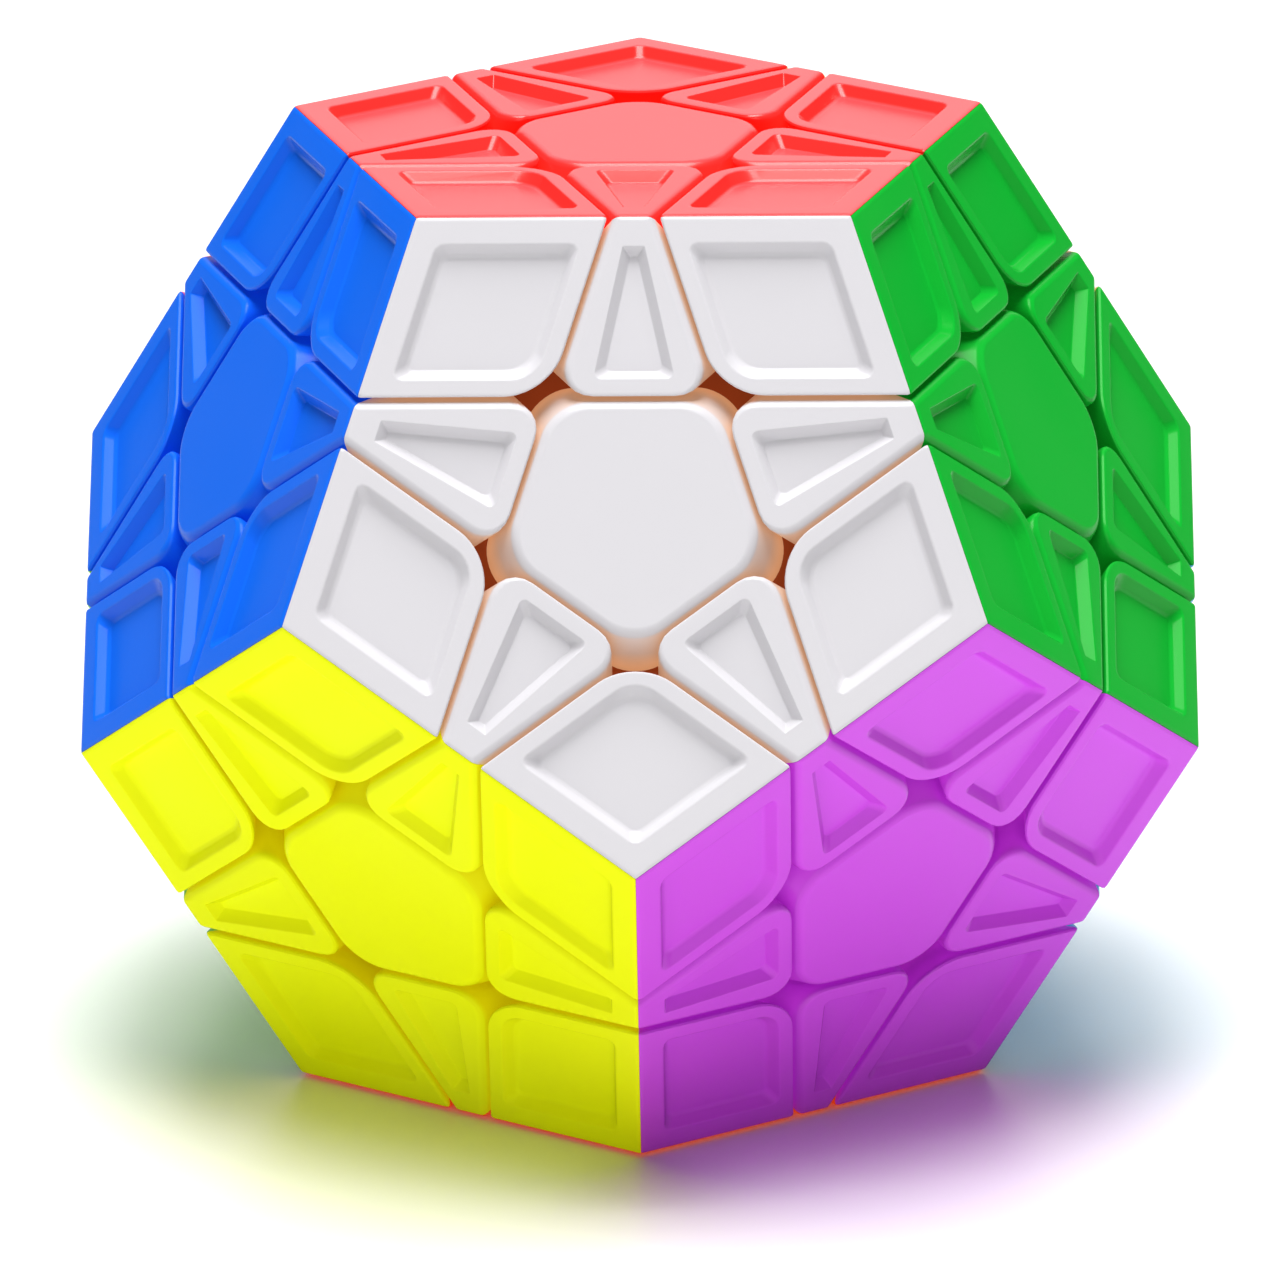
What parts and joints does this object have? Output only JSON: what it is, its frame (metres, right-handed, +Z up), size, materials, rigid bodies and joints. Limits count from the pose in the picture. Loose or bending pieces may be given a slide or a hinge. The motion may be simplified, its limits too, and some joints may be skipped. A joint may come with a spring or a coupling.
{
  "type": "dodecahedron twisty puzzle",
  "caption": "Dodecahedron twisty puzzle with moulded colour tiles in sunken panels, turning face layers, and a hidden core that carries the centres.",
  "frame": {"origin": "middle of the core, where every turning axis crosses", "axes": "+Z up through the red face; the white face looks towards -Y and tilts up, with green on its +X side and blue on its -X side"},
  "size_m": [0.0882, 0.0928, 0.075],
  "materials": {
    "red": "smooth moulded coral red plastic",
    "white": "smooth moulded white plastic",
    "green": "smooth moulded green plastic",
    "cream": "smooth moulded cream plastic",
    "pink": "smooth moulded pink plastic",
    "blue": "smooth moulded blue plastic",
    "purple": "smooth moulded purple plastic",
    "skyblue": "smooth moulded skyblue plastic",
    "grey": "smooth moulded grey plastic",
    "lime": "smooth moulded lime plastic",
    "yellow": "smooth moulded yellow plastic",
    "orange": "smooth moulded orange plastic"
  },
  "bodies": {
    "core": {"core_with_orange_centre": "orange"},
    "face_red": {"centre_red": "red"},
    "face_white": {"centre_white": "white"},
    "face_green": {"centre_green": "green"},
    "face_cream": {"centre_cream": "cream"},
    "face_pink": {"centre_pink": "pink"},
    "face_blue": {"centre_blue": "blue"},
    "face_purple": {"centre_purple": "purple", "edge_purple_orange": "purple"},
    "face_skyblue": {"centre_skyblue": "skyblue", "edge_skyblue_orange": "skyblue"},
    "face_grey": {"centre_grey": "grey", "edge_grey_orange": "grey"},
    "face_lime": {"centre_lime": "lime", "edge_lime_orange": "lime"},
    "face_yellow": {"centre_yellow": "yellow", "edge_yellow_orange": "yellow"},
    "edge_red_white": {"edge_red_white": "red"},
    "edge_red_green": {"edge_red_green": "red"},
    "edge_red_cream": {"edge_red_cream": "red"},
    "edge_red_pink": {"edge_red_pink": "red"},
    "edge_red_blue": {"edge_red_blue": "red"},
    "edge_white_green": {"edge_white_green": "white"},
    "edge_white_blue": {"edge_white_blue": "white"},
    "edge_white_purple": {"edge_white_purple": "white"},
    "edge_white_yellow": {"edge_white_yellow": "white"},
    "edge_green_cream": {"edge_green_cream": "green"},
    "edge_green_purple": {"edge_green_purple": "green"},
    "edge_green_skyblue": {"edge_green_skyblue": "green"},
    "edge_cream_pink": {"edge_cream_pink": "cream"},
    "edge_cream_skyblue": {"edge_cream_skyblue": "cream"},
    "edge_cream_grey": {"edge_cream_grey": "cream"},
    "edge_pink_blue": {"edge_pink_blue": "pink"},
    "edge_pink_grey": {"edge_pink_grey": "pink"},
    "edge_pink_lime": {"edge_pink_lime": "pink"},
    "edge_blue_lime": {"edge_blue_lime": "blue"},
    "edge_blue_yellow": {"edge_blue_yellow": "blue"},
    "edge_purple_skyblue": {"edge_purple_skyblue": "purple", "corner_purple_skyblue_orange": "purple"},
    "edge_purple_yellow": {"edge_purple_yellow": "purple", "corner_purple_yellow_orange": "purple"},
    "edge_skyblue_grey": {"edge_skyblue_grey_with_corner": "skyblue"},
    "edge_grey_lime": {"edge_grey_lime_with_corner": "grey"},
    "edge_lime_yellow": {"edge_lime_yellow": "lime", "corner_lime_yellow_orange": "lime"},
    "corner_red_white_green": {"corner_red_white_green": "red"},
    "corner_red_white_blue": {"corner_red_white_blue": "red"},
    "corner_red_green_cream": {"corner_red_green_cream": "red"},
    "corner_red_cream_pink": {"corner_red_cream_pink": "red"},
    "corner_red_pink_blue": {"corner_red_pink_blue": "red"},
    "corner_white_green_purple": {"corner_white_green_purple": "white"},
    "corner_white_blue_yellow": {"corner_white_blue_yellow": "white"},
    "corner_white_purple_yellow": {"corner_white_purple_yellow": "white"},
    "corner_green_cream_skyblue": {"corner_green_cream_skyblue": "green"},
    "corner_green_purple_skyblue": {"corner_green_purple_skyblue": "green"},
    "corner_cream_pink_grey": {"corner_cream_pink_grey": "cream"},
    "corner_cream_skyblue_grey": {"corner_cream_skyblue_grey": "cream"},
    "corner_pink_blue_lime": {"corner_pink_blue_lime": "pink"},
    "corner_pink_grey_lime": {"corner_pink_grey_lime": "pink"},
    "corner_blue_lime_yellow": {"corner_blue_lime_yellow": "blue"}
  },
  "joints": [
    {"name": "turn_red", "type": "hinge", "parent": "core", "child": "face_red", "pos_m": [0, 0, 0], "axis": [0, 0, 1], "range_deg": [-288, 216]},
    {"name": "turn_white", "type": "hinge", "parent": "core", "child": "face_white", "pos_m": [0, 0, 0], "axis": [0, -0.8944, 0.4472], "range_deg": [-288, 216]},
    {"name": "turn_green", "type": "hinge", "parent": "core", "child": "face_green", "pos_m": [0, 0, 0], "axis": [0.8507, -0.2764, 0.4472], "range_deg": [-288, 216]},
    {"name": "turn_cream", "type": "hinge", "parent": "core", "child": "face_cream", "pos_m": [0, 0, 0], "axis": [0.5257, 0.7236, 0.4472], "range_deg": [-288, 216]},
    {"name": "turn_pink", "type": "hinge", "parent": "core", "child": "face_pink", "pos_m": [0, 0, 0], "axis": [-0.5257, 0.7236, 0.4472], "range_deg": [-288, 216]},
    {"name": "turn_blue", "type": "hinge", "parent": "core", "child": "face_blue", "pos_m": [0, 0, 0], "axis": [-0.8507, -0.2764, 0.4472], "range_deg": [-288, 216]},
    {"name": "turn_purple", "type": "hinge", "parent": "core", "child": "face_purple", "pos_m": [0, 0, 0], "axis": [0.5257, -0.7236, -0.4472], "range_deg": [-288, 216]},
    {"name": "turn_skyblue", "type": "hinge", "parent": "core", "child": "face_skyblue", "pos_m": [0, 0, 0], "axis": [0.8507, 0.2764, -0.4472], "range_deg": [-288, 216]},
    {"name": "turn_grey", "type": "hinge", "parent": "core", "child": "face_grey", "pos_m": [0, 0, 0], "axis": [0, 0.8944, -0.4472], "range_deg": [-288, 216]},
    {"name": "turn_lime", "type": "hinge", "parent": "core", "child": "face_lime", "pos_m": [0, 0, 0], "axis": [-0.8507, 0.2764, -0.4472], "range_deg": [-288, 216]},
    {"name": "turn_yellow", "type": "hinge", "parent": "core", "child": "face_yellow", "pos_m": [0, 0, 0], "axis": [-0.5257, -0.7236, -0.4472], "range_deg": [-288, 216]},
    {"name": "edge_red_white_turn_red", "type": "hinge", "parent": "face_white", "child": "edge_red_white", "pos_m": [0, 0, 0], "axis": [0, 0, 1], "range_deg": [-288, 216]},
    {"name": "edge_red_green_turn_red", "type": "hinge", "parent": "face_green", "child": "edge_red_green", "pos_m": [0, 0, 0], "axis": [0, 0, 1], "range_deg": [-288, 216]},
    {"name": "edge_red_cream_turn_red", "type": "hinge", "parent": "face_cream", "child": "edge_red_cream", "pos_m": [0, 0, 0], "axis": [0, 0, 1], "range_deg": [-288, 216]},
    {"name": "edge_red_pink_turn_red", "type": "hinge", "parent": "face_pink", "child": "edge_red_pink", "pos_m": [0, 0, 0], "axis": [0, 0, 1], "range_deg": [-288, 216]},
    {"name": "edge_red_blue_turn_red", "type": "hinge", "parent": "face_blue", "child": "edge_red_blue", "pos_m": [0, 0, 0], "axis": [0, 0, 1], "range_deg": [-288, 216]},
    {"name": "edge_white_green_turn_white", "type": "hinge", "parent": "face_green", "child": "edge_white_green", "pos_m": [0, 0, 0], "axis": [0, -0.8944, 0.4472], "range_deg": [-288, 216]},
    {"name": "edge_white_blue_turn_blue", "type": "hinge", "parent": "face_white", "child": "edge_white_blue", "pos_m": [0, 0, 0], "axis": [-0.8507, -0.2764, 0.4472], "range_deg": [-288, 216]},
    {"name": "edge_white_purple_turn_purple", "type": "hinge", "parent": "face_white", "child": "edge_white_purple", "pos_m": [0, 0, 0], "axis": [0.5257, -0.7236, -0.4472], "range_deg": [-288, 216]},
    {"name": "edge_white_yellow_turn_white", "type": "hinge", "parent": "face_yellow", "child": "edge_white_yellow", "pos_m": [0, 0, 0], "axis": [0, -0.8944, 0.4472], "range_deg": [-288, 216]},
    {"name": "edge_green_cream_turn_green", "type": "hinge", "parent": "face_cream", "child": "edge_green_cream", "pos_m": [0, 0, 0], "axis": [0.8507, -0.2764, 0.4472], "range_deg": [-288, 216]},
    {"name": "edge_green_purple_turn_green", "type": "hinge", "parent": "face_purple", "child": "edge_green_purple", "pos_m": [0, 0, 0], "axis": [0.8507, -0.2764, 0.4472], "range_deg": [-288, 216]},
    {"name": "edge_green_skyblue_turn_skyblue", "type": "hinge", "parent": "face_green", "child": "edge_green_skyblue", "pos_m": [0, 0, 0], "axis": [0.8507, 0.2764, -0.4472], "range_deg": [-288, 216]},
    {"name": "edge_cream_pink_turn_cream", "type": "hinge", "parent": "face_pink", "child": "edge_cream_pink", "pos_m": [0, 0, 0], "axis": [0.5257, 0.7236, 0.4472], "range_deg": [-288, 216]},
    {"name": "edge_cream_skyblue_turn_cream", "type": "hinge", "parent": "face_skyblue", "child": "edge_cream_skyblue", "pos_m": [0, 0, 0], "axis": [0.5257, 0.7236, 0.4472], "range_deg": [-288, 216]},
    {"name": "edge_cream_grey_turn_grey", "type": "hinge", "parent": "face_cream", "child": "edge_cream_grey", "pos_m": [0, 0, 0], "axis": [0, 0.8944, -0.4472], "range_deg": [-288, 216]},
    {"name": "edge_pink_blue_turn_pink", "type": "hinge", "parent": "face_blue", "child": "edge_pink_blue", "pos_m": [0, 0, 0], "axis": [-0.5257, 0.7236, 0.4472], "range_deg": [-288, 216]},
    {"name": "edge_pink_grey_turn_pink", "type": "hinge", "parent": "face_grey", "child": "edge_pink_grey", "pos_m": [0, 0, 0], "axis": [-0.5257, 0.7236, 0.4472], "range_deg": [-288, 216]},
    {"name": "edge_pink_lime_turn_lime", "type": "hinge", "parent": "face_pink", "child": "edge_pink_lime", "pos_m": [0, 0, 0], "axis": [-0.8507, 0.2764, -0.4472], "range_deg": [-288, 216]},
    {"name": "edge_blue_lime_turn_blue", "type": "hinge", "parent": "face_lime", "child": "edge_blue_lime", "pos_m": [0, 0, 0], "axis": [-0.8507, -0.2764, 0.4472], "range_deg": [-288, 216]},
    {"name": "edge_blue_yellow_turn_yellow", "type": "hinge", "parent": "face_blue", "child": "edge_blue_yellow", "pos_m": [0, 0, 0], "axis": [-0.5257, -0.7236, -0.4472], "range_deg": [-288, 216]},
    {"name": "edge_purple_skyblue_turn_purple", "type": "hinge", "parent": "face_skyblue", "child": "edge_purple_skyblue", "pos_m": [0, 0, 0], "axis": [0.5257, -0.7236, -0.4472], "range_deg": [-288, 216]},
    {"name": "edge_purple_yellow_turn_yellow", "type": "hinge", "parent": "face_purple", "child": "edge_purple_yellow", "pos_m": [0, 0, 0], "axis": [-0.5257, -0.7236, -0.4472], "range_deg": [-288, 216]},
    {"name": "edge_skyblue_grey_turn_skyblue", "type": "hinge", "parent": "face_grey", "child": "edge_skyblue_grey", "pos_m": [0, 0, 0], "axis": [0.8507, 0.2764, -0.4472], "range_deg": [-288, 216]},
    {"name": "edge_grey_lime_turn_grey", "type": "hinge", "parent": "face_lime", "child": "edge_grey_lime", "pos_m": [0, 0, 0], "axis": [0, 0.8944, -0.4472], "range_deg": [-288, 216]},
    {"name": "edge_lime_yellow_turn_lime", "type": "hinge", "parent": "face_yellow", "child": "edge_lime_yellow", "pos_m": [0, 0, 0], "axis": [-0.8507, 0.2764, -0.4472], "range_deg": [-288, 216]},
    {"name": "corner_red_white_green_turn_white", "type": "hinge", "parent": "edge_red_green", "child": "corner_red_white_green", "pos_m": [0, 0, 0], "axis": [0, -0.8944, 0.4472], "range_deg": [-288, 216]},
    {"name": "corner_red_white_blue_turn_blue", "type": "hinge", "parent": "edge_red_white", "child": "corner_red_white_blue", "pos_m": [0, 0, 0], "axis": [-0.8507, -0.2764, 0.4472], "range_deg": [-288, 216]},
    {"name": "corner_red_green_cream_turn_green", "type": "hinge", "parent": "edge_red_cream", "child": "corner_red_green_cream", "pos_m": [0, 0, 0], "axis": [0.8507, -0.2764, 0.4472], "range_deg": [-288, 216]},
    {"name": "corner_red_cream_pink_turn_cream", "type": "hinge", "parent": "edge_red_pink", "child": "corner_red_cream_pink", "pos_m": [0, 0, 0], "axis": [0.5257, 0.7236, 0.4472], "range_deg": [-288, 216]},
    {"name": "corner_red_pink_blue_turn_pink", "type": "hinge", "parent": "edge_red_blue", "child": "corner_red_pink_blue", "pos_m": [0, 0, 0], "axis": [-0.5257, 0.7236, 0.4472], "range_deg": [-288, 216]},
    {"name": "corner_white_green_purple_turn_white", "type": "hinge", "parent": "edge_green_purple", "child": "corner_white_green_purple", "pos_m": [0, 0, 0], "axis": [0, -0.8944, 0.4472], "range_deg": [-288, 216]},
    {"name": "corner_white_blue_yellow_turn_blue", "type": "hinge", "parent": "edge_white_yellow", "child": "corner_white_blue_yellow", "pos_m": [0, 0, 0], "axis": [-0.8507, -0.2764, 0.4472], "range_deg": [-288, 216]},
    {"name": "corner_white_purple_yellow_turn_purple", "type": "hinge", "parent": "edge_white_yellow", "child": "corner_white_purple_yellow", "pos_m": [0, 0, 0], "axis": [0.5257, -0.7236, -0.4472], "range_deg": [-288, 216]},
    {"name": "corner_green_cream_skyblue_turn_green", "type": "hinge", "parent": "edge_cream_skyblue", "child": "corner_green_cream_skyblue", "pos_m": [0, 0, 0], "axis": [0.8507, -0.2764, 0.4472], "range_deg": [-288, 216]},
    {"name": "corner_green_purple_skyblue_turn_skyblue", "type": "hinge", "parent": "edge_green_purple", "child": "corner_green_purple_skyblue", "pos_m": [0, 0, 0], "axis": [0.8507, 0.2764, -0.4472], "range_deg": [-288, 216]},
    {"name": "corner_cream_pink_grey_turn_cream", "type": "hinge", "parent": "edge_pink_grey", "child": "corner_cream_pink_grey", "pos_m": [0, 0, 0], "axis": [0.5257, 0.7236, 0.4472], "range_deg": [-288, 216]},
    {"name": "corner_cream_skyblue_grey_turn_grey", "type": "hinge", "parent": "edge_cream_skyblue", "child": "corner_cream_skyblue_grey", "pos_m": [0, 0, 0], "axis": [0, 0.8944, -0.4472], "range_deg": [-288, 216]},
    {"name": "corner_pink_blue_lime_turn_pink", "type": "hinge", "parent": "edge_blue_lime", "child": "corner_pink_blue_lime", "pos_m": [0, 0, 0], "axis": [-0.5257, 0.7236, 0.4472], "range_deg": [-288, 216]},
    {"name": "corner_pink_grey_lime_turn_lime", "type": "hinge", "parent": "edge_pink_grey", "child": "corner_pink_grey_lime", "pos_m": [0, 0, 0], "axis": [-0.8507, 0.2764, -0.4472], "range_deg": [-288, 216]},
    {"name": "corner_blue_lime_yellow_turn_yellow", "type": "hinge", "parent": "edge_blue_lime", "child": "corner_blue_lime_yellow", "pos_m": [0, 0, 0], "axis": [-0.5257, -0.7236, -0.4472], "range_deg": [-288, 216]}
  ],
  "couplings": [
    {"joint": "edge_red_white_turn_red", "follows": "turn_red", "ratio": 1},
    {"joint": "edge_red_green_turn_red", "follows": "turn_red", "ratio": 1},
    {"joint": "edge_red_cream_turn_red", "follows": "turn_red", "ratio": 1},
    {"joint": "edge_red_pink_turn_red", "follows": "turn_red", "ratio": 1},
    {"joint": "edge_red_blue_turn_red", "follows": "turn_red", "ratio": 1},
    {"joint": "edge_white_green_turn_white", "follows": "turn_white", "ratio": 1},
    {"joint": "edge_white_blue_turn_blue", "follows": "turn_blue", "ratio": 1},
    {"joint": "edge_white_purple_turn_purple", "follows": "turn_purple", "ratio": 1},
    {"joint": "edge_white_yellow_turn_white", "follows": "turn_white", "ratio": 1},
    {"joint": "edge_green_cream_turn_green", "follows": "turn_green", "ratio": 1},
    {"joint": "edge_green_purple_turn_green", "follows": "turn_green", "ratio": 1},
    {"joint": "edge_green_skyblue_turn_skyblue", "follows": "turn_skyblue", "ratio": 1},
    {"joint": "edge_cream_pink_turn_cream", "follows": "turn_cream", "ratio": 1},
    {"joint": "edge_cream_skyblue_turn_cream", "follows": "turn_cream", "ratio": 1},
    {"joint": "edge_cream_grey_turn_grey", "follows": "turn_grey", "ratio": 1},
    {"joint": "edge_pink_blue_turn_pink", "follows": "turn_pink", "ratio": 1},
    {"joint": "edge_pink_grey_turn_pink", "follows": "turn_pink", "ratio": 1},
    {"joint": "edge_pink_lime_turn_lime", "follows": "turn_lime", "ratio": 1},
    {"joint": "edge_blue_lime_turn_blue", "follows": "turn_blue", "ratio": 1},
    {"joint": "edge_blue_yellow_turn_yellow", "follows": "turn_yellow", "ratio": 1},
    {"joint": "edge_purple_skyblue_turn_purple", "follows": "turn_purple", "ratio": 1},
    {"joint": "edge_purple_yellow_turn_yellow", "follows": "turn_yellow", "ratio": 1},
    {"joint": "edge_skyblue_grey_turn_skyblue", "follows": "turn_skyblue", "ratio": 1},
    {"joint": "edge_grey_lime_turn_grey", "follows": "turn_grey", "ratio": 1},
    {"joint": "edge_lime_yellow_turn_lime", "follows": "turn_lime", "ratio": 1},
    {"joint": "corner_red_white_green_turn_white", "follows": "turn_white", "ratio": 1},
    {"joint": "corner_red_white_blue_turn_blue", "follows": "turn_blue", "ratio": 1},
    {"joint": "corner_red_green_cream_turn_green", "follows": "turn_green", "ratio": 1},
    {"joint": "corner_red_cream_pink_turn_cream", "follows": "turn_cream", "ratio": 1},
    {"joint": "corner_red_pink_blue_turn_pink", "follows": "turn_pink", "ratio": 1},
    {"joint": "corner_white_green_purple_turn_white", "follows": "turn_white", "ratio": 1},
    {"joint": "corner_white_blue_yellow_turn_blue", "follows": "turn_blue", "ratio": 1},
    {"joint": "corner_white_purple_yellow_turn_purple", "follows": "turn_purple", "ratio": 1},
    {"joint": "corner_green_cream_skyblue_turn_green", "follows": "turn_green", "ratio": 1},
    {"joint": "corner_green_purple_skyblue_turn_skyblue", "follows": "turn_skyblue", "ratio": 1},
    {"joint": "corner_cream_pink_grey_turn_cream", "follows": "turn_cream", "ratio": 1},
    {"joint": "corner_cream_skyblue_grey_turn_grey", "follows": "turn_grey", "ratio": 1},
    {"joint": "corner_pink_blue_lime_turn_pink", "follows": "turn_pink", "ratio": 1},
    {"joint": "corner_pink_grey_lime_turn_lime", "follows": "turn_lime", "ratio": 1},
    {"joint": "corner_blue_lime_yellow_turn_yellow", "follows": "turn_yellow", "ratio": 1}
  ]
}
